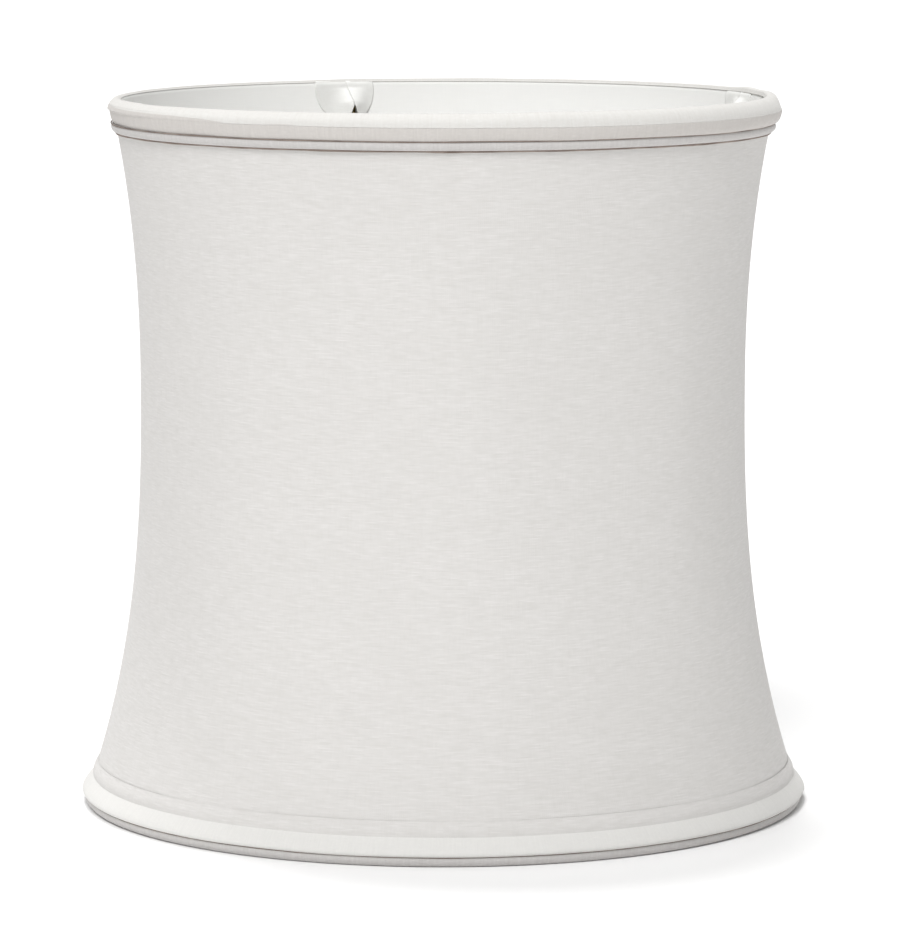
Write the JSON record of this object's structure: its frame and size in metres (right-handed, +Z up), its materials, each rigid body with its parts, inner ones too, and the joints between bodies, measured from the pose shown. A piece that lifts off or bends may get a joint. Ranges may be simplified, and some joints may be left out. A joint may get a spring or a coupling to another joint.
{
  "type": "lamp shade",
  "caption": "Softback corset lamp shade in off-white linen, with a lined wire frame, recessed spider fitter and rolled, piped trims at both rims.",
  "frame": {"origin": "on the shade's axis, at the height of the lower rim's lowest edge, which is the plane the shade stands on", "axes": "+Z up along the shade's axis; -Y is the front; +X is to the right seen from the front"},
  "size_m": [0.3314, 0.3314, 0.3225],
  "materials": {
    "linen_cover": "matt plain-weave linen, off-white, fine level slubs",
    "trim_linen": "matt linen bias strip, rolled and piped",
    "lining_cloth": "smooth white lining with a soft sheen",
    "patch_cloth": "folded white cloth collar",
    "filler_cord": "plain cotton filler cord",
    "frame_wire": "white-coated drawn steel wire",
    "spider_brass": "dull brass plating on steel"
  },
  "bodies": {
    "root": {"arm_patch_1": "patch_cloth", "arm_patch_2": "patch_cloth", "arm_patch_3": "patch_cloth", "arm_patch_4": "patch_cloth", "bottom_binding": "trim_linen", "bottom_piping": "trim_linen", "bottom_piping_core": "filler_cord", "bottom_ring": "frame_wire", "bottom_roll": "trim_linen", "bottom_roll_core": "filler_cord", "cover_back": "linen_cover", "cover_front": "linen_cover", "lining_back": "lining_cloth", "lining_front": "lining_cloth", "rib_1": "frame_wire", "rib_2": "frame_wire", "rib_3": "frame_wire", "rib_4": "frame_wire", "rib_5": "frame_wire", "rib_6": "frame_wire", "rib_7": "frame_wire", "rib_8": "frame_wire", "spider_arm_1": "spider_brass", "spider_arm_2": "spider_brass", "spider_arm_3": "spider_brass", "spider_arm_4": "spider_brass", "spider_washer": "spider_brass", "top_binding": "trim_linen", "top_piping": "trim_linen", "top_piping_core": "filler_cord", "top_ring": "frame_wire", "top_roll": "trim_linen", "top_roll_core": "filler_cord"}
  },
  "joints": []
}
